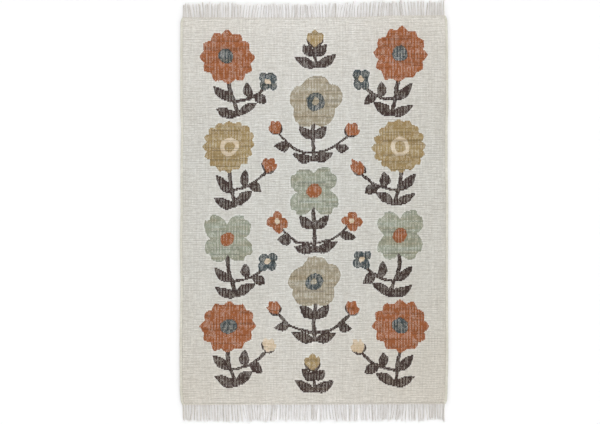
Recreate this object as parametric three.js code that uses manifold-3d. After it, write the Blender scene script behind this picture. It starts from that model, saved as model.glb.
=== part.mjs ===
// A flat-woven jute kilim rug that lies flat, with a fringe of its own warp at both ends.
// Millimetres. +X runs across the rug, +Y along it and +Z up, and the floor is at z = 0.

import * as THREE from 'three';
import { mergeVertices } from 'three/addons/utils/BufferGeometryUtils.js';
import Module from 'manifold-3d';

const wasm = await Module();
wasm.setup();

// Driving sizes of the weave
const RUG_WIDTH = 1600; // over the selvedges where they stand furthest out
const RUG_LENGTH = 2312; // from one row of fringe roots to the other
const WEAVE_THICKNESS = 4.8;
const SEAM_GAP = 0.3; // between the weave and the end band beside it

// The corners are drawn in where the last wefts were pulled tight
const CORNER_PULL = 10;
const CORNER_RUN = 34;

// The end band is the row of twined cord that locks the last wefts and holds the fringe's roots
const BAND_WIDTH = 8;
const BAND_HEIGHTS = [4.4, 5.4, 4.2]; // at its inner side, its ridge and its outer side

// The fringe: each strand is a pair of warp yarns lying side by side
const STRANDS = 92;
const STRAND_WIDTH = 9.6;
const STRAND_TIP_WIDTH = 7.4;
const STRAND_HEIGHT = 3.8;
const STRAND_TIP_HEIGHT = 2.8;
const STRAND_STEPS = 4;
const ROOT_DEPTH = 5; // how far a strand's root runs into the band
const FIRST_ROOT = 8; // from the end of the band to the middle of the first strand

// How unevenly the strands lie: neighbours lean together in slow waves, and each a little by itself
const LENGTH_SPREAD = 6;
const LEAN_WAVES = [
  { strands: 15, lean: 4.5 },
  { strands: 37, lean: 5 },
];
const LEAN_SPREAD = 1.6;
const LEAN_CURVE = 1.5; // the lean grows towards the tip as the share of the length to this power
const BEND_SPREAD = 1.8;
const FRONT_SEED = 11;
const BACK_SEED = 29;

// The selvedge is a rounded cord along each side: its height at each distance in from the edge
const SELVEDGE = [
  { inset: 0, height: 2.6 },
  { inset: 2.5, height: 5.4 },
  { inset: 8, height: 6 },
  { inset: 14, height: 4.5 },
];

// How far each selvedge stands in from the rug's widest line, from the front end to the back
const SIDE_WANDER = [
  { along: -1125, left: 4, right: 6 },
  { along: -1065, left: 1, right: 4 },
  { along: -890, left: 0, right: 0 },
  { along: -800, left: 0, right: 0 },
  { along: -440, left: 4, right: 2 },
  { along: -170, left: 1, right: 1 },
  { along: 0, left: 4, right: 0 },
  { along: 275, left: 4, right: 4 },
  { along: 455, left: 7, right: 4 },
  { along: 635, left: 3, right: 0 },
  { along: 950, left: 3, right: 1 },
  { along: 1143, left: 4, right: 5 },
];

// How far each end line stands out past its nominal place, and how long the fringe is there
const FRONT_END = [
  { across: -800, out: 0, fringe: 98 },
  { across: -300, out: -1, fringe: 97 },
  { across: 100, out: -2, fringe: 96 },
  { across: 800, out: -5, fringe: 95 },
];
const BACK_END = [
  { across: -800, out: -1, fringe: 85 },
  { across: -100, out: -2, fringe: 84 },
  { across: 250, out: 2, fringe: 86 },
  { across: 500, out: 10, fringe: 86 },
  { across: 800, out: 11, fringe: 85 },
];

// The steps of the weave's mesh, finer at the selvedges and at the corners
const ACROSS_STEPS = 14;
const ALONG_STEPS = 36;
const CORNER_STEPS = [0, 5, 11, 19, CORNER_RUN];
const CLOTH_LENGTH = RUG_LENGTH - 2 * (BAND_WIDTH + SEAM_GAP);

const material = (color) => new THREE.MeshStandardMaterial({ color, roughness: 0.95, metalness: 0 });

// A value from a table's column at a place between two rows, eased from row to row.
function fromTable(rows, place, column, at) {
  const next = rows.findIndex((row) => row[place] >= at);
  if (next === 0) return rows[0][column];
  if (next < 0) return rows.at(-1)[column];
  const before = rows[next - 1];
  const after = rows[next];
  const share = THREE.MathUtils.smoothstep(at, before[place], after[place]);
  return THREE.MathUtils.lerp(before[column], after[column], share);
}

// A run of numbers from 0 to 1 that look random and are the same on every run.
function drawsFrom(seed) {
  const MULTIPLIER = 16807;
  const MODULUS = 2147483647;
  let state = seed;
  return () => {
    state = (state * MULTIPLIER) % MODULUS;
    return state / MODULUS;
  };
}

// The end line of the rug at a place across it, for the back end (+1) or the front end (-1).
function endLine(end, across) {
  const rows = end > 0 ? BACK_END : FRONT_END;
  return end * (RUG_LENGTH / 2 + fromTable(rows, 'across', 'out', across));
}

// How far the corner draws a selvedge in, at a distance from the end line.
function cornerPull(fromEnd) {
  const share = THREE.MathUtils.clamp(1 - fromEnd / CORNER_RUN, 0, 1);
  return CORNER_PULL * share ** 2;
}

// The line of one selvedge, left (-1) or right (+1), at a place along the rug.
function sideLine(side, along, fromEnd) {
  const column = side < 0 ? 'left' : 'right';
  const wander = fromTable(SIDE_WANDER, 'along', column, along);
  return side * (RUG_WIDTH / 2 - wander - cornerPull(fromEnd));
}

// The mesh columns across the rug: the selvedges' own and even steps between them.
function weaveColumns() {
  const left = SELVEDGE.map(({ inset, height }) => ({ side: -1, inset, height }));
  const right = SELVEDGE.map(({ inset, height }) => ({ side: 1, inset, height })).reverse();
  const between = [];
  for (let step = 1; step < ACROSS_STEPS; step += 1) {
    between.push({ side: 0, share: step / ACROSS_STEPS, height: WEAVE_THICKNESS });
  }
  return [...left, ...between, ...right];
}

// Where a mesh column lies between the two selvedges' lines.
function columnAcross(column, left, right) {
  if (column.side < 0) return left + column.inset;
  if (column.side > 0) return right - column.inset;
  const selvedge = SELVEDGE.at(-1).inset;
  return THREE.MathUtils.lerp(left + selvedge, right - selvedge, column.share);
}

// The mesh rows along the rug, as distances from the front end of the weave.
function weaveRows() {
  const even = CLOTH_LENGTH - 2 * CORNER_RUN;
  const between = [];
  for (let step = 1; step < ALONG_STEPS; step += 1) {
    between.push(CORNER_RUN + (even * step) / ALONG_STEPS);
  }
  const back = CORNER_STEPS.map((inset) => CLOTH_LENGTH - inset).reverse();
  return [...CORNER_STEPS, ...between, ...back];
}

// A box whose vertices a function moves. It gets the steps of each vertex along X, Y and Z.
function shapedBox(stepsX, stepsY, stepsZ, place) {
  const box = new THREE.BoxGeometry(1, 1, 1, stepsX, stepsY, stepsZ);
  const position = box.getAttribute('position');
  for (let i = 0; i < position.count; i += 1) {
    const x = Math.round((position.getX(i) + 0.5) * stepsX);
    const y = Math.round((position.getY(i) + 0.5) * stepsY);
    const z = Math.round((position.getZ(i) + 0.5) * stepsZ);
    position.setXYZ(i, ...place(x, y, z));
  }
  box.deleteAttribute('normal');
  box.deleteAttribute('uv');
  return mergeVertices(box);
}

// The woven cloth between its two end bands, flat underneath.
function clothGeometry() {
  const columns = weaveColumns();
  const rows = weaveRows();
  return shapedBox(columns.length - 1, rows.length - 1, 1, (columnStep, rowStep, top) => {
    const column = columns[columnStep];
    const fromFront = rows[rowStep];
    const fromEnd = Math.min(fromFront, CLOTH_LENGTH - fromFront);
    const straight = fromFront - CLOTH_LENGTH / 2;
    const left = sideLine(-1, straight, fromEnd);
    const right = sideLine(1, straight, fromEnd);
    const across = columnAcross(column, left, right);
    const front = endLine(-1, across) + BAND_WIDTH + SEAM_GAP;
    const back = endLine(1, across) - BAND_WIDTH - SEAM_GAP;
    const along = THREE.MathUtils.lerp(front, back, fromFront / CLOTH_LENGTH);
    return [across, along, top * column.height];
  });
}

function solidFrom(geometry) {
  const vertProperties = new Float32Array(geometry.getAttribute('position').array);
  const triVerts = new Uint32Array(geometry.getIndex().array);
  return new wasm.Manifold(new wasm.Mesh({ numProp: 3, vertProperties, triVerts }));
}

function geometryFrom(solid) {
  const mesh = solid.getMesh();
  const geometry = new THREE.BufferGeometry();
  geometry.setAttribute('position', new THREE.BufferAttribute(mesh.vertProperties, 3));
  geometry.setIndex(new THREE.BufferAttribute(mesh.triVerts, 1));
  return geometry;
}

// The ends of the end band across the rug, where the drawn-in corners leave it.
function bandReach(end) {
  const along = end * RUG_LENGTH / 2;
  return { left: sideLine(-1, along, 0), right: sideLine(1, along, 0) };
}

// The end band follows the end line, with a low ridge along its middle.
function bandGeometry(end) {
  const { left, right } = bandReach(end);
  const columns = weaveColumns();
  return shapedBox(columns.length - 1, BAND_HEIGHTS.length - 1, 1, (columnStep, widthStep, top) => {
    const across = columnAcross(columns[columnStep], left, right);
    const steps = BAND_HEIGHTS.length - 1;
    const outStep = end > 0 ? widthStep : steps - widthStep;
    const inward = BAND_WIDTH * (1 - outStep / steps);
    return [across, endLine(end, across) - end * inward, top * BAND_HEIGHTS[outStep]];
  });
}

// One strand lies flat on the floor: it tapers, leans and bends a little towards its tip.
function strandGeometry(end, strand) {
  return shapedBox(1, STRAND_STEPS, 1, (sideStep, lengthStep, top) => {
    const share = end > 0 ? lengthStep / STRAND_STEPS : 1 - lengthStep / STRAND_STEPS;
    const width = THREE.MathUtils.lerp(STRAND_WIDTH, STRAND_TIP_WIDTH, share);
    const height = THREE.MathUtils.lerp(STRAND_HEIGHT, STRAND_TIP_HEIGHT, share);
    const sway = strand.lean * share ** LEAN_CURVE + strand.bend * Math.sin(Math.PI * share);
    const across = strand.root + sway + (sideStep - 0.5) * width;
    const outward = THREE.MathUtils.lerp(-ROOT_DEPTH, strand.length, share);
    return [across, endLine(end, strand.root) + end * outward, top * height];
  });
}

// The strands of one end, with their uneven lengths, leans and bends.
function strandsOf(end, seed) {
  const draw = drawsFrom(seed);
  const spread = (size) => (draw() * 2 - 1) * size;
  const { left, right } = bandReach(end);
  const rows = end > 0 ? BACK_END : FRONT_END;
  const strands = [];
  for (let i = 0; i < STRANDS; i += 1) {
    const root = THREE.MathUtils.lerp(left + FIRST_ROOT, right - FIRST_ROOT, i / (STRANDS - 1));
    const turn = (wave) => seed + (2 * Math.PI * i) / wave.strands;
    const together = LEAN_WAVES.reduce((sum, wave) => sum + wave.lean * Math.sin(turn(wave)), 0);
    strands.push({
      root,
      length: fromTable(rows, 'across', 'fringe', root) + spread(LENGTH_SPREAD),
      lean: together + spread(LEAN_SPREAD),
      bend: spread(BEND_SPREAD),
    });
  }
  return strands;
}

// The band and its strands are one solid: the strands' roots are fused into the band.
function fringeGeometry(end, seed) {
  let fringe = solidFrom(bandGeometry(end));
  for (const strand of strandsOf(end, seed)) {
    fringe = fringe.add(solidFrom(strandGeometry(end, strand)));
  }
  return geometryFrom(fringe);
}

function named(name, geometry, color) {
  const mesh = new THREE.Mesh(geometry, material(color));
  mesh.name = name;
  return mesh;
}

const rug = new THREE.Group();
rug.add(named('rug_cloth', clothGeometry(), 0xcdcbc3));
rug.add(named('fringe_front', fringeGeometry(-1, FRONT_SEED), 0xd8d6d0));
rug.add(named('fringe_back', fringeGeometry(1, BACK_SEED), 0xdad8d2));

// The origin is on the floor, under the middle of the rug and its fringes.
const middle = new THREE.Box3().setFromObject(rug).getCenter(new THREE.Vector3());
rug.position.set(-middle.x, -middle.y, 0);

export default rug;
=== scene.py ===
"""A flat-woven jute kilim rug with a floral pattern and a fringe at both ends, seen from above.

Lengths are in metres, angles in degrees and colours in sRGB steps from 0 to 255. +X runs across the
rug, +Y along it and +Z up, with the floor at z = 0.
"""

import math
from itertools import chain

import bpy
import numpy as np
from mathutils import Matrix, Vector


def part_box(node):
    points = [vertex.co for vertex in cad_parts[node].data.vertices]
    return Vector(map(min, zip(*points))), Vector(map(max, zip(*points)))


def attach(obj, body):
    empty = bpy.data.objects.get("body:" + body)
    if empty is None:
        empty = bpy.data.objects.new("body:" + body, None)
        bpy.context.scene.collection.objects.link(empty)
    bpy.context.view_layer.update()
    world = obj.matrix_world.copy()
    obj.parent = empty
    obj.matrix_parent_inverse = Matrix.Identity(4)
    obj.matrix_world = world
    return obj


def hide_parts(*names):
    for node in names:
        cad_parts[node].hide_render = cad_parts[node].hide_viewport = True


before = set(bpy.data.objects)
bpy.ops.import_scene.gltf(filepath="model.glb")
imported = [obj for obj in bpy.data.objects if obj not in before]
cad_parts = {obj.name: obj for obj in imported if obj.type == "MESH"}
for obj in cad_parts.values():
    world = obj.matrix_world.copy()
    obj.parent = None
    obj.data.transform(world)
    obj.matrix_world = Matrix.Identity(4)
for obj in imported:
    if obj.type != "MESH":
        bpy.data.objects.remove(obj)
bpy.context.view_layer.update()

# The rug's own sizes, as its solids have them
RUG_WIDTH = 1.600
RUG_LENGTH = 2.312
BAND_WIDTH = 0.008
SEAM_GAP = 0.0003  # between the cloth's solid and the strip at its end
BAND_OUT = 0.0025  # how far the twined cords lie out from the middle of the solid's end strip
END_TUCK = 0.0035  # how far the weave runs in under them
CORNER_PULL = 0.010
CORNER_RUN = 0.034
SELVEDGE_WIDTH = 0.016
STRANDS = 92
FIRST_ROOT = 0.008  # from the end of the band to the middle of the first strand
LENGTH_SPREAD = 0.006
LEAN_WAVES = ((15, 0.0045), (37, 0.005))  # strands to each wave, and how far their tips lean
LEAN_SPREAD = 0.0016
LEAN_CURVE = 1.5  # the lean grows towards the tip as the share of the length to this power
BEND_SPREAD = 0.0018
SEEDS = {-1: 11, 1: 29}  # for the front end and the back end

# How far each selvedge stands in from the widest line, in mm: place along the rug, left, right
SIDE_WANDER = np.array((
    (-1125, 4, 6),
    (-1065, 1, 4),
    (-890, 0, 0),
    (-800, 0, 0),
    (-440, 4, 2),
    (-170, 1, 1),
    (0, 4, 0),
    (275, 4, 4),
    (455, 7, 4),
    (635, 3, 0),
    (950, 3, 1),
    (1143, 4, 5),
)) / 1000

# How far each end line stands out and how long its fringe is, in mm: place across the rug, out,
# fringe. The front end is -1 and the back end is 1.
END_LINES = {
    -1: np.array(((-800, 0, 98), (-300, -1, 97), (100, -2, 96), (800, -5, 95))) / 1000,
    1: np.array(((-800, -1, 85), (-100, -2, 84), (250, 2, 86), (500, 10, 86), (800, 11, 85))) / 1000,
}

# The weave: pairs of warps run along the rug, and pairs of wefts run over and under them. Both are
# counted in pairs here, which are also the steps of the cloth's mesh.
WARPS = 184
WEFTS = 342
BACK_SKIP = 2  # rows to each step of the mesh on the underside
WEAVE_TOP = 0.0044
WEAVE_RELIEF = 0.00042
RIB_SHARE = 0.7  # of that relief, from row to row
BEAD_SHARE = 0.3  # and from crossing to crossing
ROW_LIFT = 0.00012  # how unevenly the rows lie
CLOTH_SWELL = 0.0002  # how far the whole cloth rises and falls
WEAVE_INSET = 0.85  # how far the weave's sides lie in from the rug's, in widths of the selvedge
BEAD_BOW = 0.2  # how far a row bows where its weft lies on top, in rows

# Each weft yarn's colour, and how far apart its turns lie where the pale warp shows through most,
# from 0 for closed to 1
YARNS = {
    "ivory": ((202, 200, 194), 0.45),
    "terracotta": ((148, 88, 53), 0.56),
    "sage": ((145, 149, 134), 0.75),
    "beige": ((153, 144, 125), 0.72),
    "ochre": ((155, 134, 94), 0.62),
    "slate": ((64, 72, 75), 0.72),
    "brown": ((65, 52, 49), 0.55),
    "cream": ((203, 187, 164), 0.60),
}
YARN_NAMES = tuple(YARNS)
WARP_COLOUR = (224, 221, 214)
WEAVE_SHADE = 0.88  # the share of the light that comes back from a face as rough as the weave

# The fringe's and end bands' yarns: the palest colour, the darkest, and the one near the sides
TUBE_YARNS = {
    "warp_yarn": ((252, 251, 251), (178, 169, 158), (197, 190, 178)),
    "frayed_yarn": ((252, 251, 250), (214, 209, 199), (210, 204, 192)),
    "band_yarn": ((226, 221, 214), (202, 196, 186), (204, 197, 182)),
}
SELVEDGE_COLOURS = ((188, 184, 169), (212, 209, 198))

# How far a motif's edge blurs, how deep each material's bump is, and the fibres' share of it
EDGE_BLUR = 0.0004
WEAVE_BUMP = 0.0009
YARN_BUMP = 0.0007
FRAYED_BUMP = 0.0001
SELVEDGE_BUMP = 0.0008
FIBRE_RELIEF = 0.4
CLOTH_SHEEN = 0.08

# The fringe: plied yarns that lie side by side in strands
YARNS_TO_STRAND = 4
YARN_RADIUS = 0.0019
YARN_RADIUS_RANGE = (0.88, 1.05)
YARN_GAP = 0.0035  # between the middles of a strand's yarns at its root
TIP_GAP_RANGE = (0.56, 1.00)  # what is left of that gap at the tip
YARN_STEPS = 25
YARN_SIDES = 8
YARN_TURN = 0.028  # in which the yarn's two lobes turn once
YARN_PITCH = 0.011  # in which the finer plies of its material do
PLY_GROOVE = 0.3  # the groove between two lobes, as a share of the radius
YARN_SHORT = 0.003  # how much shorter than its solid strand a yarn is, on average
YARN_LENGTH_SPREAD = 0.0042
# Painted shade: the left yarn of each strand is darkened, as if it lay in shade away from the key
# light
LEFT_YARN_PAINTED_SHADE = 0.25  # the left yarn of each strand is the darkest
YARN_STRAY = 0.0011
YARN_WAVE = 0.0004
ROOT_TUCK = 0.005  # how far a yarn starts in under the end band
ROOT_LIFT = 0.0012
ROOT_LIFT_RUN = 0.007
LEAN_GAIN = 1.5  # the yarns lean further than the solid strands that stand for them
LAST_STRANDS = 4  # the strands at each side that lean less and less, and then inwards
LAST_LEAN = 0.0015
CLUMP_STRANDS = 3.4
CLUMP_LEAN = 0.0030

# The loose fibres at the yarns' cut ends
FIBRES_TO_TIP = 9
FIBRE_RADIUS = 0.00045
FIBRE_STEPS = 4
FIBRE_SIDES = 3
FIBRE_LENGTHS = (0.004, 0.009)
FIBRE_TUCK = 0.003
FIBRE_SAG = 0.001

# The end bands: two cords twined about the roots of the strands
BAND_CORD_RADIUS = 0.0021
BAND_HELIX_RADIUS = 0.0023
BAND_FLATNESS = 0.45
BAND_TURN = 0.0342  # the twined cords change places once at each strand
BAND_PITCH = 0.013
BAND_STEPS = 720
BAND_SIDES = 8
BAND_INSET = 0.002  # from the rug's side to the end of the cords

# The selvedges: weft that turns round two cords of warp
SELVEDGE_PROUD = 0.002  # how far the turned weft stands out past the solid's side
SELVEDGE_MIDDLE = 0.0029  # how high the middle of its section lies
SELVEDGE_SIDES = 16
SELVEDGE_END = 0.4  # how far it stops short of the fringe's roots, in widths of the end band
ROW_STEPS = 4
TURN_SLANT = 0.35  # how far a ridge runs ahead from a flank to the crown, in its own widths
ROW_GROOVE = 0.13  # the groove between two rows, as a share of the section
ROW_SWELL = 0.03
CORD_GROOVE = 0.16  # and the one between the two cords
CORD_GROOVE_WIDTH = 0.22

# The motifs, and the pattern's layers from the lowest up
LAYERS = ("plant", "petal", "centre")
FLOWER_SIZE = 0.157  # from a big flower's middle to its petals' tips
SMALL_FLOWER_SIZE = 0.062
BUD_SIZE = 0.082
STEM_WIDTH = 0.0235
TWIG_WIDTH = 0.017
LEAF_WIDTH = 0.060
LEAF_BEND = 0.006
STEM_BOW = 0.020
LINE_STEPS = 8
SIDE_COLUMN = 0.512
SIDE_FOOT = 0.462
ROW_STEP = 0.538
TOP_ROW = 0.922
PLANT_HEIGHT = 0.348
SPRIG_FEET = (0.865, -1.075)
SPRIG_HEIGHT = 0.13
SPRIG_BUD_SIZE = 0.095

# Each shoot's tip, from the rug's middle line and from its flower's middle, and how far it bows
SIDE_SHOOT = (0.286, -0.160, -0.024)
MIDDLE_SHOOT = (0.212, -0.200, 0.026)

# The leaves of each plant and shoot: the point of the line that it grows from, its angle, its length
SIDE_LEAVES = ((0, 70, 0.140), (0, -54, 0.130), (2, 50, 0.138))
SIDE_SHOOT_LEAVES = ((3, 4, 0.094), (4, -118, 0.090))
MIDDLE_LEAVES = ((0, 72, 0.136), (3, 48, 0.116))
MIDDLE_SHOOT_LEAVES = ((5, 104, 0.090),)
SPRIG_LEAVES = ((0, 62, 0.134), (4, 46, 0.096))

# The photo's frame and camera
PHOTO_WIDTH = 600
METRES_PER_PIXEL = 0.005972
RUG_MIDDLE_RIGHT = 14  # pixels that the rug's middle lies to the right of the photo's
RUG_MIDDLE_UP = 0.8
CAMERA_HEIGHT = 7.0
SENSOR_WIDTH = 0.036

# The studio's light. Its level is the brightness of a pure white sheet on the floor.
LIGHT_LEVEL = 1.10
LOW_SHARE = 0.40  # what comes from the studio's pale walls, low on all sides
KEY_SHARE = 0.20
LOW_RANGE = (0.20, 0.50)  # the sines of the heights over which that low light ends
KEY_ANGLE = 40
KEY_DIRECTION = (0.45, 0.8, 1.0)
FLOOR_ALBEDO = 0.925
FLOOR_GRAIN = 0.004
FLOOR_REACH = 20.0
FLOOR_DROP = 0.0001  # below the rug, so that no two faces share a place


def albedo(rgb):
    """What a rough woven face needs to come out as this colour, in sRGB steps from 0 to 255."""
    share = np.array(rgb, float) / 255
    light = np.where(share <= 0.04045, share / 12.92, ((share + 0.055) / 1.055) ** 2.4)
    return (*light / LIGHT_LEVEL / WEAVE_SHADE, 1.0)


def eased(rows, column, at):
    """A value from a table's column at a place in its first column, eased from row to row."""
    at = np.clip(at, rows[0, 0], rows[-1, 0])
    after = np.clip(np.searchsorted(rows[:, 0], at), 1, len(rows) - 1)
    before = after - 1
    share = (at - rows[before, 0]) / (rows[after, 0] - rows[before, 0])
    share = share * share * (3 - 2 * share)
    return rows[before, column] + (rows[after, column] - rows[before, column]) * share


def draws_from(seed):
    """Numbers from 0 to 1 that look random, the same that the solids' strands were made with."""
    state = seed
    while True:
        state = state * 16807 % 2147483647
        yield state / 2147483647


# The solids were moved so that the origin is in the middle of their box
BACK_RISE = END_LINES[1][-1, 1]
RUG_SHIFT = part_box("rug_cloth")[1][1] - (RUG_LENGTH / 2 + BACK_RISE - BAND_WIDTH - SEAM_GAP)


def end_line(end, across):
    """The line of the fringe's roots, for the back end (1) or the front end (-1)."""
    return end * (RUG_LENGTH / 2 + eased(END_LINES[end], 1, across))


def side_line(side, along, from_end):
    """The outer line of a selvedge, left (-1) or right (1)."""
    pull = CORNER_PULL * np.clip(1 - from_end / CORNER_RUN, 0, 1) ** 2
    return side * (RUG_WIDTH / 2 - eased(SIDE_WANDER, 1 if side < 0 else 2, along) - pull)


def on_rug(across, along, inset):
    """Where a point of the straight rug lies. across and along run from -1 to 1 over the rug,
    and inset is how far its sides stand in from the selvedges' outer lines."""
    short = BAND_WIDTH - END_TUCK
    half = RUG_LENGTH / 2 - short
    straight = along * half
    from_end = half - np.abs(straight)
    left = side_line(-1, straight, from_end) + inset
    right = side_line(1, straight, from_end) - inset
    x = left + (right - left) * (across + 1) / 2
    front = end_line(-1, x) + short
    back = end_line(1, x) - short
    y = front + (back - front) * (along + 1) / 2
    return x, y + RUG_SHIFT


def add_object(name, data):
    added = bpy.data.objects.new(name, data)
    bpy.context.scene.collection.objects.link(added)
    return added


def make_mesh(name, points, faces, fields):
    """A smooth mesh object. fields is a list of (name, POINT or CORNER, three numbers for each)."""
    mesh = bpy.data.meshes.new(name)
    mesh.from_pydata(points.tolist(), [], faces)
    for field, domain, values in fields:
        attribute = mesh.attributes.new(field, "FLOAT_VECTOR", domain)
        attribute.data.foreach_set("vector", np.ravel(values))
    mesh.polygons.foreach_set("use_smooth", [True] * len(mesh.polygons))
    mesh.update()
    return add_object(name, mesh)


# The floral pattern


class Pattern:
    """How deep each point lies in the nearest motif of a layer, and the yarn of that motif."""

    def __init__(self, x, y):
        self.x = x
        self.y = y
        self.depth = {layer: np.full(x.shape, -1.0) for layer in LAYERS}
        self.yarn = {layer: np.zeros(x.shape) for layer in LAYERS}

    def add(self, layer, depth, yarn):
        nearer = depth > self.depth[layer]
        self.depth[layer][nearer] = depth[nearer]
        self.yarn[layer][nearer] = YARN_NAMES.index(yarn)

    def disc(self, x, y, radius):
        return radius - np.hypot(self.x - x, self.y - y)

    def blade(self, x, y, angle, length, width, belly=0.9, bend=0.0):
        """A pointed oval from x, y along angle, in degrees from +Y towards +X."""
        turn = math.radians(angle)
        out = (self.x - x) * math.sin(turn) + (self.y - y) * math.cos(turn)
        side = (self.x - x) * math.cos(turn) - (self.y - y) * math.sin(turn)
        share = np.clip(out / length, 0, 1)
        side = side - bend * np.sin(math.pi * share)
        half = width / 2 * np.sin(math.pi * share ** belly) ** 0.8
        return np.minimum(np.minimum(half - np.abs(side), out), length - out)

    def stem(self, points, width):
        best = np.full(self.x.shape, -1.0)
        for (x0, y0), (x1, y1) in zip(points, points[1:]):
            dx = x1 - x0
            dy = y1 - y0
            share = np.clip(((self.x - x0) * dx + (self.y - y0) * dy) / (dx * dx + dy * dy), 0, 1)
            gap = np.hypot(self.x - x0 - share * dx, self.y - y0 - share * dy)
            best = np.maximum(best, width / 2 - gap)
        self.add("plant", best, "brown")


def bowed(x0, y0, x1, y1, bow):
    """Points along a line whose middle stands out to its right by bow."""
    length = math.hypot(x1 - x0, y1 - y0)
    points = []
    for step in range(LINE_STEPS + 1):
        share = step / LINE_STEPS
        out = bow * math.sin(math.pi * share) / length
        x = x0 + (x1 - x0) * share + (y1 - y0) * out
        y = y0 + (y1 - y0) * share - (x1 - x0) * out
        points.append((x, y))
    return points


def around(x, y, count, reach, first=0.0):
    """Places spaced evenly on a circle, each with its angle."""
    for step in range(count):
        angle = first + 360 * step / count
        turn = math.radians(angle)
        yield x + reach * math.sin(turn), y + reach * math.cos(turn), angle


def round_petals(pattern, x, y, size, core, count, reach, radius, first=0.0):
    """A disc with round petals evenly about it, in shares of the size."""
    whole = pattern.disc(x, y, size * core)
    for px, py, _ in around(x, y, count, size * reach, first):
        whole = np.maximum(whole, pattern.disc(px, py, size * radius))
    return whole


def pointed_petals(pattern, x, y, size, core, count, reach, length, width, belly):
    """The same with pointed petals."""
    whole = pattern.disc(x, y, size * core)
    for px, py, angle in around(x, y, count, size * reach):
        petal = pattern.blade(px, py, angle, size * length, size * width, belly)
        whole = np.maximum(whole, petal)
    return whole


def ring(pattern, x, y, outer, inner):
    return np.minimum(pattern.disc(x, y, outer), -pattern.disc(x, y, inner))


def aster(pattern, x, y):
    """Twelve pointed petals round a slate disc."""
    size = FLOWER_SIZE
    form = {"core": 0.62, "count": 12, "reach": 0.2, "length": 0.83, "width": 0.52, "belly": 1.6}
    pattern.add("petal", pointed_petals(pattern, x, y, size, **form), "terracotta")
    pattern.add("centre", pattern.disc(x, y, size * 0.29), "slate")


def dogwood(pattern, x, y):
    """Four broad petals, each notched at its tip, round a terracotta disc."""
    size = FLOWER_SIZE
    form = {"core": 0.5, "count": 4, "reach": 0.6, "radius": 0.46, "first": 45}
    whole = round_petals(pattern, x, y, size, **form)
    for px, py, _ in around(x, y, 4, size * 1.14, 45):
        whole = np.minimum(whole, -pattern.disc(px, py, size * 0.17))
    pattern.add("petal", whole, "sage")
    pattern.add("centre", pattern.disc(x, y, size * 0.27), "terracotta")


def rose(pattern, x, y):
    """Five round petals about a slate ring."""
    size = FLOWER_SIZE
    form = {"core": 0.55, "count": 5, "reach": 0.52, "radius": 0.50}
    pattern.add("petal", round_petals(pattern, x, y, size, **form), "beige")
    pattern.add("centre", ring(pattern, x, y, size * 0.34, size * 0.13), "slate")


def sunflower(pattern, x, y):
    """Sixteen small points about a pale ring."""
    size = FLOWER_SIZE
    form = {"core": 0.78, "count": 16, "reach": 0.45, "length": 0.57, "width": 0.36, "belly": 1.7}
    pattern.add("petal", pointed_petals(pattern, x, y, size, **form), "ochre")
    pattern.add("centre", ring(pattern, x, y, size * 0.36, size * 0.20), "cream")


def cross_flower(pattern, x, y, yarn, first):
    """Four round petals about a cream disc."""
    size = SMALL_FLOWER_SIZE
    form = {"core": 0.4, "count": 4, "reach": 0.56, "radius": 0.46, "first": first}
    pattern.add("petal", round_petals(pattern, x, y, size, **form), yarn)
    pattern.add("centre", pattern.disc(x, y, size * 0.27), "cream")


def bud(pattern, x, y, angle, yarn, size=BUD_SIZE):
    """A half-open flower from the side, on a cup of two leaves."""
    whole = pattern.blade(x, y, angle, size * 1.15, size * 0.62, 1.2)
    for turn in (-26, 26):
        whole = np.maximum(whole, pattern.blade(x, y, angle + turn, size, size * 0.46, 1.4))
    pattern.add("petal", whole, yarn)
    for turn in (-46, 46):
        pattern.add("plant", pattern.blade(x, y, angle + turn, size * 0.74, size * 0.36), "brown")


def leaves(pattern, line, rows, side):
    """The leaves along a line, from a table of point, angle and length."""
    for point, angle, length in rows:
        blade = pattern.blade(*line[point], side * angle, length, LEAF_WIDTH, 0.85, side * LEAF_BEND)
        pattern.add("plant", blade, "brown")


def end_angle(points):
    """The direction of a line's last stretch, in degrees from +Y towards +X."""
    (x0, y0), (x1, y1) = points[-2:]
    return math.degrees(math.atan2(x1 - x0, y1 - y0))


def twig(pattern, points, blossom, yarn, side):
    """A side shoot with a small flower or a bud on its end."""
    pattern.stem(points, TWIG_WIDTH)
    x, y = points[-1]
    if blossom == "bud":
        bud(pattern, x, y, end_angle(points) * 0.7, yarn)
    else:
        cross_flower(pattern, x + side * 0.004, y + 0.018, yarn, 45 if yarn == "slate" else 0)


def side_plant(pattern, side, y, flower, blossom, yarn):
    """An upright plant of the outer columns, with one shoot towards the rug's middle."""
    stem = bowed(side * SIDE_FOOT, y - PLANT_HEIGHT, side * SIDE_COLUMN, y, side * STEM_BOW)
    pattern.stem(stem, STEM_WIDTH)
    leaves(pattern, stem, SIDE_LEAVES, side)
    tip_x, tip_y, bow = SIDE_SHOOT
    shoot = bowed(*stem[2], side * tip_x, y + tip_y, side * bow)
    leaves(pattern, shoot, SIDE_SHOOT_LEAVES, side)
    twig(pattern, shoot, blossom, yarn, -side)
    flower(pattern, side * SIDE_COLUMN, y)


def middle_plant(pattern, y, flower, blossom, yarn):
    """An upright plant of the middle column, with a shoot to each side."""
    stem = bowed(0, y - PLANT_HEIGHT, 0, y, 0)
    pattern.stem(stem, STEM_WIDTH)
    tip_x, tip_y, bow = MIDDLE_SHOOT
    for side in (1, -1):
        leaves(pattern, stem, MIDDLE_LEAVES, side)
        shoot = bowed(*stem[1], side * tip_x, y + tip_y, side * bow)
        leaves(pattern, shoot, MIDDLE_SHOOT_LEAVES, side)
        twig(pattern, shoot, blossom, yarn, side)
    flower(pattern, 0, y)


def lone_sprig(pattern, foot):
    """A small plant that fills one end of the middle column."""
    stem = bowed(0, foot, 0, foot + SPRIG_HEIGHT, 0)
    pattern.stem(stem, STEM_WIDTH * 0.8)
    for side in (1, -1):
        leaves(pattern, stem, SPRIG_LEAVES, side)
    bud(pattern, 0, foot + SPRIG_HEIGHT - 0.01, 0, "ochre", SPRIG_BUD_SIZE)


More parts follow.
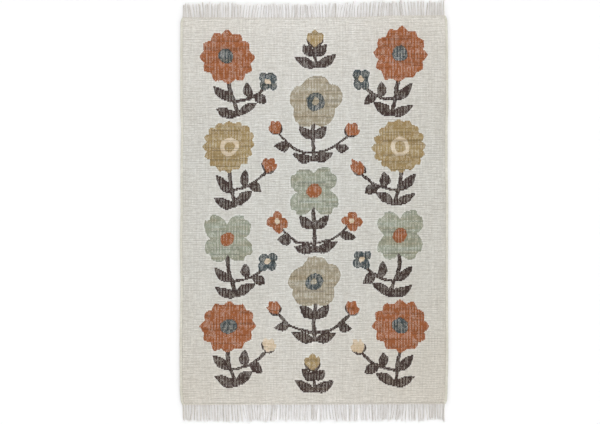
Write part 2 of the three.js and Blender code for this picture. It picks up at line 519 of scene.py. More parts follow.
def floral_pattern(x, y):
    """Three columns of upright plants, mirrored about the rug's length, the middle one a half
    step lower."""
    pattern = Pattern(x, y)
    side_rows = (
        (aster, "flower", "slate"),
        (sunflower, "bud", "terracotta"),
        (dogwood, "flower", "slate"),
        (aster, "bud", "cream"),
    )
    for row, kinds in enumerate(side_rows):
        for side in (1, -1):
            side_plant(pattern, side, TOP_ROW - row * ROW_STEP, *kinds)
    middle_rows = (
        (rose, "bud", "terracotta"),
        (dogwood, "flower", "terracotta"),
        (rose, "bud", "terracotta"),
    )
    for row, kinds in enumerate(middle_rows):
        middle_plant(pattern, TOP_ROW - (row + 0.5) * ROW_STEP, *kinds)
    for foot in SPRIG_FEET:
        lone_sprig(pattern, foot)
    return pattern


def hand_wobble(x, y, seed):
    """A slow, small shift of the pattern, because no two motifs are woven quite alike."""
    random = np.random.default_rng(seed)
    shift = np.zeros(np.shape(x))
    for wavelength, size in ((0.9, 0.004), (0.45, 0.003), (0.21, 0.0018), (0.11, 0.0011)):
        for _ in range(3):
            angle, phase = random.uniform(0, 2 * math.pi, 2)
            across = x * math.cos(angle) + y * math.sin(angle)
            shift = shift + size * np.sin(2 * math.pi * across / wavelength + phase)
    return shift


# The cloth


def weave_grid(rows):
    """The points of a grid over the cloth, by column and row, and the faces between them."""
    column, row = np.meshgrid(np.arange(WARPS + 1), rows)
    number = np.arange(column.size).reshape(column.shape)
    faces = np.stack((number[:-1, :-1], number[:-1, 1:], number[1:, 1:], number[1:, :-1]), -1)
    return column.ravel(), row.ravel(), faces.reshape(-1, 4)


def woven_pattern():
    """The pattern's depths and yarns for each row of the weave, at each column of the mesh."""
    column, row = np.meshgrid(np.arange(WARPS + 1), np.arange(WEFTS) + 0.5)
    x = (column / WARPS * 2 - 1) * (RUG_WIDTH / 2 - SELVEDGE_WIDTH)
    y = (row / WEFTS * 2 - 1) * (RUG_LENGTH / 2 - BAND_WIDTH + END_TUCK)
    pattern = floral_pattern(x + hand_wobble(x, y, 8), y + hand_wobble(x, y, 9))
    depth = np.stack([pattern.depth[layer] for layer in LAYERS], -1)
    yarn = np.stack([pattern.yarn[layer] for layer in LAYERS], -1)
    return depth, yarn


def cloth_piece():
    """The woven sheet between its selvedges and end bands, closed, with relief on both faces."""
    random = np.random.default_rng(4)
    top_column, top_row, top_faces = weave_grid(np.arange(WEFTS + 1))
    low_rows = np.arange(0, WEFTS + 1, BACK_SKIP)
    low_column, low_row, low_faces = weave_grid(low_rows)
    column = np.concatenate((top_column, low_column))
    row = np.concatenate((top_row, low_row))
    across = column / WARPS * 2 - 1
    along = row / WEFTS * 2 - 1
    x, y = on_rug(across, along, SELVEDGE_WIDTH * WEAVE_INSET - SELVEDGE_PROUD)

    # Every other row stands up, more so where its weft passes over the warp, and each row lies a
    # little unevenly
    rib = np.where(row % 2 < 1, RIB_SHARE, -RIB_SHARE)
    crown = rib + np.where((column + row) % 2 < 1, BEAD_SHARE, -BEAD_SHARE)
    row_lift = random.normal(0, ROW_LIFT, WEFTS + 1)[row]
    swell = CLOTH_SWELL * np.sin(x * 23 + 1.3) * np.sin(y * 17 + 0.4)
    z_top = WEAVE_TOP + WEAVE_RELIEF * crown + row_lift + swell
    z_low = WEAVE_RELIEF * (1 + np.where((column + row / BACK_SKIP) % 2 < 1, 1.0, -1.0)) / 2
    is_top = np.arange(len(column)) < len(top_column)
    z = np.where(is_top, z_top, z_low)

    # The walls join the two faces: one face of the wall to each step of the underside
    first_low = len(top_column)
    wide = WARPS + 1
    faces = top_faces.tolist() + (low_faces[:, ::-1] + first_low).tolist()
    for step in range(len(low_rows) - 1):
        for edge in (0, WARPS):
            upper = [(step * BACK_SKIP + k) * wide + edge for k in range(BACK_SKIP + 1)]
            lower = [first_low + (step + k) * wide + edge for k in (1, 0)]
            wall = upper + lower
            faces.append(wall[::-1] if edge else wall)
    for low_start, top_start, turned in (
        (first_low, 0, False),
        (first_low + (len(low_rows) - 1) * wide, WEFTS * wide, True),
    ):
        for k in range(WARPS):
            wall = [low_start + k, low_start + k + 1, top_start + k + 1, top_start + k]
            faces.append(wall[::-1] if turned else wall)

    # All corners of a face take the pattern at the middle of its own row, so a motif's edge goes in
    # steps, as it does in a woven one
    sizes = [len(face) for face in faces]
    corner = np.fromiter(chain.from_iterable(faces), int)
    starts = np.concatenate(((0,), np.cumsum(sizes)[:-1]))
    face_row = np.add.reduceat(row[corner], starts) / sizes
    face_row = np.clip(face_row, 0, WEFTS - 1).astype(int)
    place = (np.repeat(face_row, sizes), column[corner])
    depth, yarn = woven_pattern()
    fields = (
        ("depth", "CORNER", depth[place]),
        ("yarn", "CORNER", yarn[place]),
        ("cell", "POINT", np.stack((column, row, np.zeros(len(row))), -1)),
    )
    return make_mesh("rug_weave", np.stack((x, y, z), -1), faces, fields)


# Tubes: yarns, cords and selvedges are closed tubes of any section along a line


def circle(sides):
    """The angle of each point round a section."""
    return np.arange(sides) / sides * 2 * math.pi


def tube_arrays(path, section, first):
    """The points and faces of a closed tube. path is (steps, 3) and section (steps, sides, 2),
    its first number to the line's left and its second up."""
    steps, sides = section.shape[:2]
    ahead = np.gradient(path, axis=0)
    ahead /= np.linalg.norm(ahead, axis=1, keepdims=True)
    left = np.cross((0.0, 0.0, 1.0), ahead)
    left /= np.linalg.norm(left, axis=1, keepdims=True)
    up = np.cross(ahead, left)
    points = path[:, None] + section[..., :1] * left[:, None] + section[..., 1:] * up[:, None]
    number = np.arange(steps * sides).reshape(steps, sides) + first
    beside = np.roll(number, -1, axis=1)
    faces = np.stack((number[:-1], beside[:-1], beside[1:], number[1:]), -1)
    faces = faces.reshape(-1, 4).tolist()
    faces.append(number[0, ::-1].tolist())
    faces.append(number[-1].tolist())
    return points.reshape(-1, 3), faces


def plied_section(lengths, radius, pitch, sides, start):
    """The section of a yarn of two plies at each place along it: two lobes that turn."""
    angle = circle(sides)
    turn = start + lengths[:, None] / pitch * math.pi * 2
    lobes = 1 - PLY_GROOVE + PLY_GROOVE * np.abs(np.cos(angle - turn))
    reach = np.reshape(radius, (-1, 1)) * lobes
    return np.stack((reach * np.cos(angle), reach * np.sin(angle)), -1)


class Bundle:
    """Collects tubes into one mesh. Its fields hold each point's place on its tube, as the length
    to there and the direction from the tube's middle, and each tube's own shade."""

    def __init__(self):
        self.points = []
        self.faces = []
        self.places = []
        self.shades = []
        self.count = 0

    def add(self, path, section, shade):
        points, faces = tube_arrays(path, section, self.count)
        steps, sides = section.shape[:2]
        lengths = np.concatenate(((0,), np.cumsum(np.linalg.norm(np.diff(path, axis=0), axis=1))))
        angle = circle(sides)
        place = np.zeros((steps, sides, 3))
        place[..., 0] = lengths[:, None]
        place[..., 1] = np.cos(angle)
        place[..., 2] = np.sin(angle)
        self.points.append(points)
        self.faces += faces
        self.places.append(place.reshape(-1, 3))
        self.shades.append(np.full((len(points), 3), shade))
        self.count += len(points)

    def piece(self, name):
        fields = (
            ("place", "POINT", np.concatenate(self.places)),
            ("shade", "POINT", np.concatenate(self.shades)),
        )
        return make_mesh(name, np.concatenate(self.points), self.faces, fields)


def strands_of(end):
    """The strands of one end, as the solids have them."""
    draws = draws_from(SEEDS[end])

    def spread(size):
        return (next(draws) * 2 - 1) * size

    along = np.array(end * RUG_LENGTH / 2)
    left = side_line(-1, along, 0.0)
    right = side_line(1, along, 0.0)
    for number in range(STRANDS):
        root = left + FIRST_ROOT + (right - left - 2 * FIRST_ROOT) * number / (STRANDS - 1)
        together = sum(
            lean * math.sin(SEEDS[end] + 2 * math.pi * number / strands)
            for strands, lean in LEAN_WAVES
        )
        length = float(eased(END_LINES[end], 2, root)) + spread(LENGTH_SPREAD)
        lean = together + spread(LEAN_SPREAD)
        yield {"root": float(root), "length": length, "lean": lean, "bend": spread(BEND_SPREAD)}


def fringe_piece(name, end):
    """The warp's ends: four plied yarns to a strand, which lie on the floor side by side."""
    random = np.random.default_rng(40 + end)
    bundle = Bundle()
    tips = []
    share = np.linspace(0, 1, YARN_STEPS + 1)
    for count, strand in enumerate(strands_of(end)):
        from_side = min(count, STRANDS - 1 - count) / LAST_STRANDS
        clump = CLUMP_LEAN * math.sin(2 * math.pi * count / CLUMP_STRANDS)
        lean = strand["lean"] * LEAN_GAIN + clump
        inwards = -math.copysign(LAST_LEAN, strand["root"])
        lean = inwards + (lean - inwards) * min(from_side, 1)
        sway = lean * share ** LEAN_CURVE
        sway = sway + strand["bend"] * np.sin(math.pi * share)
        closeness = random.uniform(*TIP_GAP_RANGE)
        strand_shade = random.uniform(0, 1)
        for number in range(YARNS_TO_STRAND):
            length = strand["length"] + random.normal(-YARN_SHORT, YARN_LENGTH_SPREAD)
            phase, wave = random.uniform(0, 2 * math.pi, 2)
            from_strand = number - (YARNS_TO_STRAND - 1) / 2
            apart = from_strand * YARN_GAP * (1 + (closeness - 1) * share)
            stray = random.normal(0, YARN_STRAY) * share ** 2
            stray = stray + YARN_WAVE * np.sin(wave + share * 9) * share
            x = strand["root"] + sway + apart + stray
            out = -ROOT_TUCK + (length + ROOT_TUCK) * share
            y = end_line(end, strand["root"]) + end * out + RUG_SHIFT
            drop = np.exp(-np.clip(out, 0, None) / ROOT_LIFT_RUN)
            thin = 1 - 0.4 * np.clip((share - 0.93) / 0.07, 0, 1)
            radius = YARN_RADIUS * random.uniform(*YARN_RADIUS_RANGE) * thin
            z = radius + ROOT_LIFT * drop
            path = np.stack((x, y, z), -1)
            shade = 0.35 * strand_shade + 0.65 * random.uniform(0.2, 1)
            # Painted shade on the left yarn of each strand
            if number == 0:
                shade = shade * LEFT_YARN_PAINTED_SHADE
            section = plied_section(out, radius, YARN_TURN, YARN_SIDES, phase)
            bundle.add(path, section, shade)
            tips.append((path[-1], path[-1] - path[-3]))
    return bundle.piece(name), tips


def frayed_tips(name, tips, seed):
    """The loose fibres at the yarns' cut ends."""
    random = np.random.default_rng(seed)
    bundle = Bundle()
    share = np.linspace(0, 1, FIBRE_STEPS)[:, None]
    angle = circle(FIBRE_SIDES)
    radius = FIBRE_RADIUS * (1 - 0.75 * share)
    section = np.stack((radius * np.cos(angle), radius * np.sin(angle)), -1)
    for tip, ahead in tips:
        ahead = ahead / np.linalg.norm(ahead)
        for _ in range(FIBRES_TO_TIP):
            length = random.uniform(*FIBRE_LENGTHS)
            aside = np.array((random.normal(0, 0.20), random.normal(0, 0.06), 0.0))
            bend = np.array((random.normal(0, 0.0012), 0.0, 0.0))
            offset = np.array((random.normal(0, 0.0006), 0.0, random.uniform(-0.0006, 0.0006)))
            root = tip - ahead * FIBRE_TUCK + offset
            path = root + (ahead + aside) * length * share + bend * share ** 2
            path[:, 2] = np.maximum(path[:, 2] - FIBRE_SAG * share[:, 0], FIBRE_RADIUS)
            bundle.add(path, section, random.uniform(0, 1))
    return bundle.piece(name)


def band_piece(name, end):
    """Two cords twined about the roots of the strands, along the end of the weave."""
    bundle = Bundle()
    along = np.array(end * RUG_LENGTH / 2)
    left = float(side_line(-1, along, 0.0)) + BAND_INSET
    right = float(side_line(1, along, 0.0)) - BAND_INSET
    radius = np.full(BAND_STEPS, BAND_CORD_RADIUS)
    x = np.linspace(left, right, BAND_STEPS)
    line = end_line(end, x) - end * (BAND_WIDTH / 2 - BAND_OUT) + RUG_SHIFT
    for start in (0.0, math.pi):
        turn = start + 2 * math.pi * (x - left) / BAND_TURN
        y = line + BAND_HELIX_RADIUS * np.cos(turn)
        z = BAND_CORD_RADIUS + BAND_HELIX_RADIUS * BAND_FLATNESS * (1 + np.sin(turn))
        path = np.stack((x, y, z), -1)
        section = plied_section(x - left, radius, BAND_PITCH, BAND_SIDES, start)
        bundle.add(path, section, 0.3 if start else 0.7)
    return bundle.piece(name)


def selvedge_piece(name, side):
    """The rug's side: the weft turns round two cords of warp, and leaves a ridge at each row."""
    bundle = Bundle()
    steps = WEFTS * ROW_STEPS + 1
    row = np.linspace(0, WEFTS, steps)
    short = BAND_WIDTH * SELVEDGE_END
    half = RUG_LENGTH / 2 - short
    straight = (row / WEFTS * 2 - 1) * half
    from_end = half - np.abs(straight)
    outer = side_line(side, straight, from_end) + side * SELVEDGE_PROUD
    middle = outer - side * SELVEDGE_WIDTH / 2
    front = end_line(-1, middle) + short
    back = end_line(1, middle) - short
    y = front + (back - front) * row / WEFTS + RUG_SHIFT
    path = np.stack((middle, y, np.full(steps, SELVEDGE_MIDDLE)), -1)
    angle = circle(SELVEDGE_SIDES)
    flat = np.cos(angle)
    wrap = np.abs(np.sin(math.pi * (row[:, None] + TURN_SLANT * flat)))
    random = np.random.default_rng(6 + side)
    swell_rows = np.arange(0, WEFTS + 5, 4)
    swell = 1 + np.interp(row, swell_rows, random.normal(0, ROW_SWELL, WEFTS // 4 + 2))
    reach = (1 - ROW_GROOVE * (1 - wrap)) * swell[:, None]
    lobes = 1 - CORD_GROOVE * np.exp(-(flat / CORD_GROOVE_WIDTH) ** 2)
    section_x = SELVEDGE_WIDTH / 2 * np.sign(flat) * np.abs(flat) ** 0.8 * reach
    section_z = SELVEDGE_MIDDLE * np.sin(angle) * lobes * reach
    section_z = np.maximum(section_z, -SELVEDGE_MIDDLE)
    bundle.add(path, np.stack((section_x, section_z), -1), 0.5)
    return bundle.piece(name)


# Materials


class Shading:
    """Builds one material's nodes. Each call adds a node and gives its result."""

    def __init__(self, name):
        self.material = bpy.data.materials.new(name)
        self.material.use_nodes = True
        self.tree = self.material.node_tree
        self.tree.nodes.clear()

    def node(self, kind, inputs=(), **settings):
        node = self.tree.nodes.new(kind)
        for setting, value in settings.items():
            setattr(node, setting, value)
        for key, value in dict(inputs).items():
            if isinstance(value, bpy.types.NodeSocket):
                self.tree.links.new(value, node.inputs[key])
            else:
                node.inputs[key].default_value = value
        return node

    def math(self, operation, a, b=0.0, c=0.0, clamp=False):
        inputs = {0: a, 1: b, 2: c}
        if operation != "MULTIPLY_ADD":
            del inputs[2]
        return self.node("ShaderNodeMath", inputs, operation=operation, use_clamp=clamp).outputs[0]

    def plus(self, a, b):
        return self.math("ADD", a, b)

    def minus(self, a, b):
        return self.math("SUBTRACT", a, b)

    def times(self, a, b, clamp=False):
        return self.math("MULTIPLY", a, b, clamp=clamp)

    def times_plus(self, a, b, c):
        """a times b, with c added to it."""
        return self.math("MULTIPLY_ADD", a, b, c)

    def ramp(self, value, low, high, to_low=0.0, to_high=1.0, kind="SMOOTHSTEP"):
        """The value's place between low and high, eased, as a number from to_low to to_high."""
        inputs = {0: value, 1: low, 2: high, 3: to_low, 4: to_high}
        return self.node("ShaderNodeMapRange", inputs, interpolation_type=kind).outputs[0]

    def line(self, value, low, high, to_low=0.0, to_high=1.0):
        """The same, not eased."""
        return self.ramp(value, low, high, to_low, to_high, "LINEAR")

    def vector(self, x, y, z=0.0):
        return self.node("ShaderNodeCombineXYZ", {0: x, 1: y, 2: z}).outputs[0]

    def at(self, a, a_scale, b, b_scale, layer=0.0):
        """A place in a noise that is stretched by so much each way."""
        return self.vector(self.times(a, a_scale), self.times(b, b_scale), layer)

    def noise(self, vector, detail=1.0, roughness=0.5, scale=1.0):
        inputs = {"Vector": vector, "Scale": scale, "Detail": detail, "Roughness": roughness}
        return self.node("ShaderNodeTexNoise", inputs, noise_dimensions="3D").outputs["Fac"]

    def random(self, x, y, z=0.0):
        inputs = {"Vector": self.vector(x, y, z)}
        return self.node("ShaderNodeTexWhiteNoise", inputs, noise_dimensions="3D").outputs[0]

    def mix(self, share, a, b, blend="MIX"):
        inputs = {0: share, 6: a, 7: b}
        return self.node("ShaderNodeMix", inputs, data_type="RGBA", blend_type=blend).outputs[2]

    def blend(self, share, a, b):
        """A number between a and b."""
        return self.times_plus(share, self.minus(b, a), a)

    def cell(self, value):
        """The whole number below a value, and the place in that step from -1 to 1."""
        number = self.math("FLOOR", value)
        return number, self.times_plus(self.minus(value, number), 2.0, -1.0)

    def yarn_height(self, place, number, wave):
        """How high a yarn's face lies: round across, and by turns high and low along it."""
        round_face = self.math("SQRT", self.minus(1.0, self.square(place)))
        turn = self.times(self.math("COSINE", self.times(number, math.pi)), wave)
        return self.times(round_face, self.times_plus(turn, 0.35, 0.65))

    def square(self, value):
        return self.times(value, value)

    def place(self):
        """The place on the rug, whole and as three numbers."""
        found = self.node("ShaderNodeTexCoord").outputs["Object"]
        return found, self.node("ShaderNodeSeparateXYZ", {0: found}).outputs

    def field(self, name):
        """The three numbers of a field that the mesh holds."""
        found = self.node("ShaderNodeAttribute", attribute_name=name).outputs["Vector"]
        return self.node("ShaderNodeSeparateXYZ", {0: found}).outputs

    def yarn(self, number):
        """The colour of the yarn with this number, and how far apart its turns lie."""
        share = self.math("DIVIDE", self.plus(number, 0.5), len(YARNS))
        node = self.node("ShaderNodeValToRGB", {0: share})
        node.color_ramp.interpolation = "CONSTANT"
        while len(node.color_ramp.elements) < len(YARNS):
            node.color_ramp.elements.new(1.0)
        for place, (colour, openness) in enumerate(YARNS.values()):
            stop = node.color_ramp.elements[place]
            stop.position = place / len(YARNS)
            stop.color = (*albedo(colour)[:3], openness)
        return node.outputs[0], node.outputs[1]

    def bright(self, colour, factor):
        """A colour times a number that a node gives."""
        grey = self.node("ShaderNodeCombineColor", {0: factor, 1: factor, 2: factor}).outputs[0]
        return self.mix(1.0, colour, grey, "MULTIPLY")

    def finish(self, colour, height, distance, roughness=0.95, sheen=0.0):
        bump = self.node("ShaderNodeBump", {"Strength": 1.0, "Distance": distance, "Height": height})
        inputs = {"Base Color": colour, "Roughness": roughness, "Normal": bump.outputs[0]}
        inputs.update({"Specular IOR Level": 0.12, "Sheen Weight": sheen, "Sheen Roughness": 0.6})
        shader = self.node("ShaderNodeBsdfPrincipled", inputs)
        output = self.node("ShaderNodeOutputMaterial")
        self.tree.links.new(shader.outputs[0], output.inputs[0])
        return self.material


def weave_material():
    """The cloth: the pattern's yarns, the warp that shows between them, and the weave's relief."""
    s = Shading("woven_jute")
    warp, weft, _ = s.field("cell")
    depths = s.field("depth")
    _, petal_yarn, centre_yarn = s.field("yarn")

    # The crossing of two warps and two wefts that a point is on
    warp_at = s.math("ROUND", warp)
    weft_at = s.math("ROUND", s.plus(weft, 0.25))
    odd = s.math("FLOORED_MODULO", s.plus(warp_at, weft_at), 2.0)
    odd_warp = s.math("FLOORED_MODULO", warp_at, 2.0)
    turn = s.math("FLOOR", s.times(weft, 0.5))

    # Each weft turns back a little before or after the motif's edge
    stretch = s.math("FLOOR", s.times(warp, 0.12))
    early = s.minus(s.random(turn, stretch), 0.5)
    run = s.math("FLOOR", s.times(weft, 0.2))
    step = s.minus(s.random(warp_at, 7.0, run), 0.5)
    uneven = s.times_plus(early, 0.0052, s.times(step, 0.0020))
    depths = [s.plus(depth, uneven) for depth in depths]
    is_plant, is_petal, is_centre = [s.ramp(depth, -EDGE_BLUR, EDGE_BLUR) for depth in depths]
    is_centre = s.times(is_centre, is_petal)
    plant, petal, centre = depths
    dyed = s.math("MAXIMUM", is_plant, is_petal)

    # The wefts are packed close where they turn, so the warp shows only further in
    depth_in = s.math("MAXIMUM", plant, petal)
    rim = s.ramp(depth_in, 0.0, 0.0065)
    rim = s.times(rim, s.ramp(s.math("ABSOLUTE", centre), 0.0, 0.004))
    run = s.at(warp_at, 7.31, weft, 0.12)
    streak = s.noise(run, 2.0, 0.6)
    speck = s.minus(s.random(warp_at, weft_at, 5.0), 0.5)
    streak = s.times_plus(odd_warp, 0.12, streak)
    streak = s.times_plus(speck, 0.14, streak)
    shows = s.times(s.ramp(streak, 0.42, 0.74), 0.75)
    shows = s.times(shows, s.times_plus(odd, 0.25, 0.85))
    shows = s.times(shows, rim, clamp=True)

    # The single yarns, two warps to each column and two wefts to each row. The rows bow apart where
    # a weft passes over a warp, so its beads are plump.
    warps = s.times(warp, 2.0)
    wefts = s.times(weft, 2.0)
    warp_wave = s.math("SINE", s.times(warps, math.pi))
    weft_wave = s.math("SINE", s.times(wefts, -math.pi))
    bow = s.times(warp_wave, s.math("COSINE", s.times(wefts, math.pi)))
    warp_number, warp_place = s.cell(warps)
    weft_number, weft_place = s.cell(s.times_plus(bow, BEAD_BOW, wefts))
    warp_height = s.yarn_height(warp_place, warp_number, weft_wave)
    weft_height = s.yarn_height(weft_place, weft_number, warp_wave)
    ivory, ivory_open = YARNS["ivory"]
    brown, brown_open = YARNS["brown"]
    petal_colour, petal_open = s.yarn(petal_yarn)
    centre_colour, centre_open = s.yarn(centre_yarn)
    colour = s.mix(is_plant, albedo(ivory), albedo(brown))
    colour = s.mix(is_petal, colour, petal_colour)
    colour = s.mix(is_centre, colour, centre_colour)
    openness = s.blend(is_petal, brown_open, petal_open)
    openness = s.blend(is_centre, openness, centre_open)
    ground_shows = s.times(s.ramp(streak, 0.3, 0.8), ivory_open)
    shows = s.blend(dyed, ground_shows, s.times(shows, openness))
    warp_height = s.plus(warp_height, s.minus(shows, 0.82))
    is_warp = s.ramp(s.minus(warp_height, weft_height), -0.06, 0.06)
    colour = s.mix(is_warp, colour, albedo(WARP_COLOUR))

    # Bands of one dye lot run across the motifs, with a dark row here and there
    lot = s.at(warp, 0.03, turn, 0.55, 3.0)
    lot = s.line(s.noise(lot, 2.0, 0.6), 0.32, 0.68)
    band = s.mix(lot, (0.86, 0.80, 0.71, 1), (1.12, 1.15, 1.19, 1))
    row = s.random(weft_at, 3.0, s.math("FLOOR", s.times(warp, 0.05)))
    dark_row = s.ramp(row, 0.72, 1.0, 1.0, 0.70)
    band = s.bright(band, dark_row)

    # Painted shade: along the ground some rows are darkened for a stretch, as if they lay lower
    thread_x = s.times(warp, 0.12)
    thread = s.noise(s.vector(thread_x, s.times(weft, 0.76), 1.0))
    other = s.noise(s.vector(thread_x, s.times_plus(weft, 0.76, 0.80), 1.0))
    thread = s.ramp(s.minus(thread, other), -0.08, 0.30, 1.02, 0.85)
    # Painted shade: the rows are by turns darker and lighter, by a share that varies along the
    # ground
    sunk_row_shade = s.at(warp, 0.10, weft, 0.05, 9.0)
    sunk_row_shade = s.ramp(s.noise(sunk_row_shade, 2.0), 0.40, 0.62, 0.01, 0.11)
    wave = s.math("COSINE", s.times(weft, math.pi))
    lines = s.times(thread, s.times_plus(wave, sunk_row_shade, 1.0))
    column = s.at(warp_at, 3.37, weft, 0.05, 2.0)
    column = s.line(s.noise(column, 2.0), 0.25, 0.75, 0.94, 1.06)
    lines = s.times(lines, column)
    stripe = s.at(warp, 0.19, weft, 0.015, 6.0)
    stripe = s.line(s.noise(stripe), 0.3, 0.7, 0.975, 1.025)
    lines = s.times(lines, stripe)
    lines = s.times(lines, s.times_plus(speck, 0.10, 1.0))
    beside = s.ramp(depth_in, -0.014, -0.002, 1.0, 1.07)
    lines = s.times(lines, beside)
    paleness = s.line(lines, 0.6, 1.4)
    plain = s.mix(paleness, (0.64, 0.60, 0.55, 1), (1.36, 1.40, 1.45, 1))
    faint = s.times_plus(s.minus(lines, 1.0), 0.5, 1.0)
    colour = s.mix(1.0, colour, s.mix(dyed, plain, s.bright(band, faint)), "MULTIPLY")

    # The cloth's colour drifts: it is paler along its middle and at its two ends, darker and
    # yellower towards its sides and its front, and darker still in a narrow strip along each side
    place, (place_x, place_y, _) = s.place()
    from_middle = s.math("ABSOLUTE", place_x)
    tone_drift = s.times_plus(s.noise(place, 3.0, 0.55, 3.0), 1.2, -0.6)
    for value, share in ((from_middle, 1.25), (place_x, 0.36), (place_y, -0.51)):
        tone_drift = s.times_plus(value, share, tone_drift)
    tone_drift = s.plus(tone_drift, s.ramp(from_middle, 0.765, 0.80, 0.0, 0.5))
    tone_drift = s.line(tone_drift, -1.0, 2.2)
    tone_drift = s.mix(tone_drift, (1.045, 1.075, 1.105, 1), (0.866, 0.845, 0.800, 1))
    colour = s.mix(1.0, colour, tone_drift, "MULTIPLY")
    warm = s.line(s.math("ABSOLUTE", place_y), 0.35, 1.15)
    colour = s.mix(warm, colour, s.mix(1.0, colour, (1.055, 1.025, 1.005, 1), "MULTIPLY"))
    front_end = s.ramp(weft, 0.0, 14.0, 1.03, 1.0)
    back_end = s.ramp(weft, WEFTS - 20.0, WEFTS, 1.0, 1.05)
    colour = s.bright(colour, s.times(front_end, back_end))

    # Painted shade: each yarn is darkened where it dives under the next. Its fibres run aslant.
    height = s.math("MAXIMUM", warp_height, weft_height)
    colour = s.bright(colour, s.ramp(height, 0.0, 0.85, 0.66, 1.10))
    bead = s.random(warp_number, weft_number, 4.0)
    colour = s.bright(colour, s.line(bead, 0.0, 1.0, 0.96, 1.04))
    weft_fibre = s.vector(s.times(warp, 2.5), s.times_plus(warp, 9.0, s.times(weft, 15.0)))
    warp_fibre = s.vector(s.times_plus(weft, 7.0, s.times(warp, 20.0)), s.times(weft, 2.0))
    weft_fibre = s.noise(weft_fibre, 2.0, 0.6)
    warp_fibre = s.noise(warp_fibre, 2.0, 0.6)
    fibre = s.blend(is_warp, weft_fibre, warp_fibre)
    colour = s.bright(colour, s.line(fibre, 0.3, 0.7, 0.84, 1.16))
    relief = s.times_plus(fibre, FIBRE_RELIEF, height)
    return s.finish(colour, relief, WEAVE_BUMP, sheen=CLOTH_SHEEN)


def yarn_material(name, pitch, bump):
    """Yarn of two plies that turn once in the pitch."""
    s = Shading(name)
    light, dark, edge = TUBE_YARNS[name]
    along, right, up = s.field("place")
    shade = s.field("shade")[0]
    own = s.times(shade, 17.0)
    fibre_at = s.vector(s.times(along, 140.0), s.times_plus(right, 2.6, own), s.times(up, 2.6))
    fibre = s.noise(fibre_at, 3.0, 0.65)
    patch = s.noise(s.at(along, 22.0, shade, 90.0), 2.0)
    mixed = s.times_plus(patch, 0.55, s.times(shade, 0.5))
    mixed = s.times_plus(fibre, 0.55, mixed)
    colour = s.mix(s.line(mixed, 0.44, 0.92), albedo(dark), albedo(light))
    from_middle = s.math("ABSOLUTE", s.place()[1][0])
    outer = s.line(from_middle, 0.3, 0.79, 0.0, 0.35)
    outer = s.plus(outer, s.ramp(from_middle, 0.778, 0.792, 0.0, 0.4))
    colour = s.mix(outer, colour, albedo(edge))

    # The grooves between the plies: the cosine of twice the angle from a ply's crown
    turn = s.times(along, 4 * math.pi / pitch)
    double_cosine = s.minus(s.square(right), s.square(up))
    double_sine = s.times(s.times(right, up), 2.0)
    ply = s.times(double_sine, s.math("SINE", turn))
    ply = s.times_plus(double_cosine, s.math("COSINE", turn), ply)
    # Painted shade in the grooves between the plies
    colour = s.bright(colour, s.ramp(ply, -1.0, -0.1, 0.84, 1.04))
    relief = s.times_plus(fibre, FIBRE_RELIEF, s.ramp(ply, -1.0, 0.3))
    return s.finish(colour, relief, bump, sheen=CLOTH_SHEEN)


def selvedge_material():
    """Weft yarn wound about the side's cords: a groove between any two turns, with painted
    shade in it and on the yarn's flanks and underside."""
    s = Shading("selvedge_yarn")
    along, right, up = s.field("place")
    turn = s.times(along, 2 * WEFTS / RUG_LENGTH)
    number, place = s.cell(s.times_plus(right, TURN_SLANT, turn))
    bulge = s.math("SQRT", s.minus(1.0, s.square(place)))
    wound = s.vector(s.times(along, 1900.0), s.times(right, 1.4), s.times(up, 1.4))
    fibre = s.noise(wound, 3.0, 0.65)
    shade = s.random(number, 2.0)
    patch = s.noise(s.vector(s.times(along, 7.0), 4.0), 3.0, 0.6)
    mixed = s.times_plus(shade, 0.35, s.times(patch, 0.9))
    mixed = s.times_plus(fibre, 0.5, mixed)
    dark, light = SELVEDGE_COLOURS
    colour = s.mix(s.line(mixed, 0.45, 1.2), albedo(dark), albedo(light))
    # Painted shade in the groove between two turns
    colour = s.bright(colour, s.ramp(bulge, 0.0, 0.6, 0.72, 1.05))
    # Painted shade on the flanks and underside, darkest low down
    colour = s.bright(colour, s.ramp(up, -0.2, 0.85, 0.42, 1.0))
    relief = s.times_plus(fibre, FIBRE_RELIEF, bulge)
    return s.finish(colour, relief, SELVEDGE_BUMP, sheen=CLOTH_SHEEN)


def plain_floor_material():
    s = Shading("plain_floor")
    grain = s.noise(s.place()[0], 2.0, scale=2.0)
    low = FLOOR_ALBEDO - FLOOR_GRAIN
    high = FLOOR_ALBEDO + FLOOR_GRAIN
    colour = s.mix(grain, (low, low, low, 1), (high, high, high, 1))
    return s.finish(colour, grain, 0.0, roughness=1.0)


# The pieces on their bodies


def dress(piece, material, slot, *nodes):
    piece.data.materials.append(material)
    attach(piece, "root")
    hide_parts(*nodes)


weave = cloth_piece()
dress(weave, weave_material(), "woven_jute", "rug_cloth")
selvedge_yarn = selvedge_material()
for side, word in ((-1, "left"), (1, "right")):
    selvedge = selvedge_piece("selvedge_" + word, side)
    dress(selvedge, selvedge_yarn, "woven_jute", "rug_cloth")

warp_yarn = yarn_material("warp_yarn", YARN_PITCH, YARN_BUMP)
frayed_yarn = yarn_material("frayed_yarn", YARN_PITCH, FRAYED_BUMP)
band_yarn = yarn_material("band_yarn", BAND_PITCH, YARN_BUMP)
ends = []
for end, word in ((-1, "front"), (1, "back")):
    node = "fringe_" + word
    band = band_piece("end_band_" + word, end)
    dress(band, band_yarn, "warp_yarn", node)
    fringe, tips = fringe_piece("fringe_yarns_" + word, end)
    dress(fringe, warp_yarn, "warp_yarn", node)
    frayed = frayed_tips("frayed_tips_" + word, tips, 50 + end)
    dress(frayed, frayed_yarn, "warp_yarn", node)
    ends += [band, fringe, frayed]

# The floor, the light and the camera
floor_corners = np.array(((-1, -1, 0), (1, -1, 0), (1, 1, 0), (-1, 1, 0))) * FLOOR_REACH
floor = make_mesh("floor", floor_corners, [(0, 1, 2, 3)], ())
floor.location.z = -FLOOR_DROP
floor.data.materials.append(plain_floor_material())


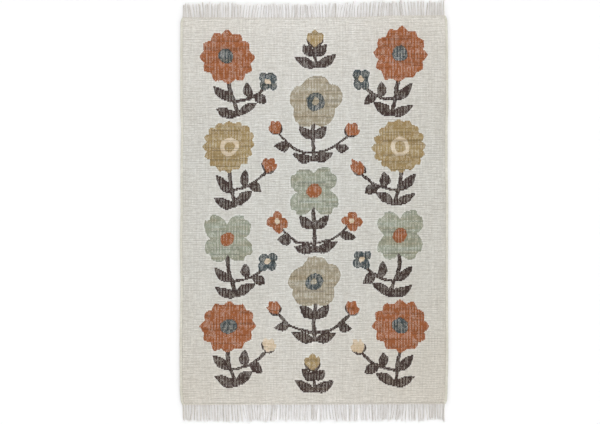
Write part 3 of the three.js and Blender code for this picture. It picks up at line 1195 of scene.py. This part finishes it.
def studio_light():
    """A pale dome, brighter low down on all sides, and a soft key light from the back right."""
    rise = np.linspace(0, 1, 2001)
    share = np.clip((rise - LOW_RANGE[0]) / (LOW_RANGE[1] - LOW_RANGE[0]), 0, 1)
    low_weight = np.mean(2 * rise * (1 - share * share * (3 - 2 * share)))
    low = LIGHT_LEVEL * LOW_SHARE / low_weight
    high = LIGHT_LEVEL * (1 - LOW_SHARE - KEY_SHARE)

    world = bpy.data.worlds.new("studio")
    world.use_nodes = True
    nodes = world.node_tree.nodes
    links = world.node_tree.links
    direction = nodes.new("ShaderNodeTexCoord")
    height = nodes.new("ShaderNodeSeparateXYZ")
    level = nodes.new("ShaderNodeMapRange")
    level.interpolation_type = "SMOOTHSTEP"
    for socket, value in zip((1, 2, 3, 4), (*LOW_RANGE, low + high, high)):
        level.inputs[socket].default_value = value
    links.new(direction.outputs["Generated"], height.inputs[0])
    links.new(height.outputs["Z"], level.inputs[0])
    links.new(level.outputs[0], nodes["Background"].inputs["Strength"])
    nodes["Background"].inputs["Color"].default_value = (1.0, 1.0, 1.0, 1.0)
    bpy.context.scene.world = world

    key_data = bpy.data.lights.new("key", "SUN")
    key_data.angle = math.radians(KEY_ANGLE)
    key_direction = Vector(KEY_DIRECTION).normalized()
    key_data.energy = LIGHT_LEVEL * KEY_SHARE * math.pi / key_direction.z
    key = add_object("key", key_data)
    key.rotation_euler = key_direction.to_track_quat("Z", "Y").to_euler()


studio_light()

camera_data = bpy.data.cameras.new("camera")
camera_data.sensor_width = SENSOR_WIDTH * 1000
view_width = PHOTO_WIDTH * METRES_PER_PIXEL
camera_data.lens = SENSOR_WIDTH * 1000 * CAMERA_HEIGHT / view_width
camera = add_object("camera", camera_data)
camera.location.x = -RUG_MIDDLE_RIGHT * METRES_PER_PIXEL
camera.location.y = -RUG_MIDDLE_UP * METRES_PER_PIXEL
camera.location.z = CAMERA_HEIGHT
bpy.context.scene.camera = camera
bpy.context.scene.view_settings.view_transform = "Standard"
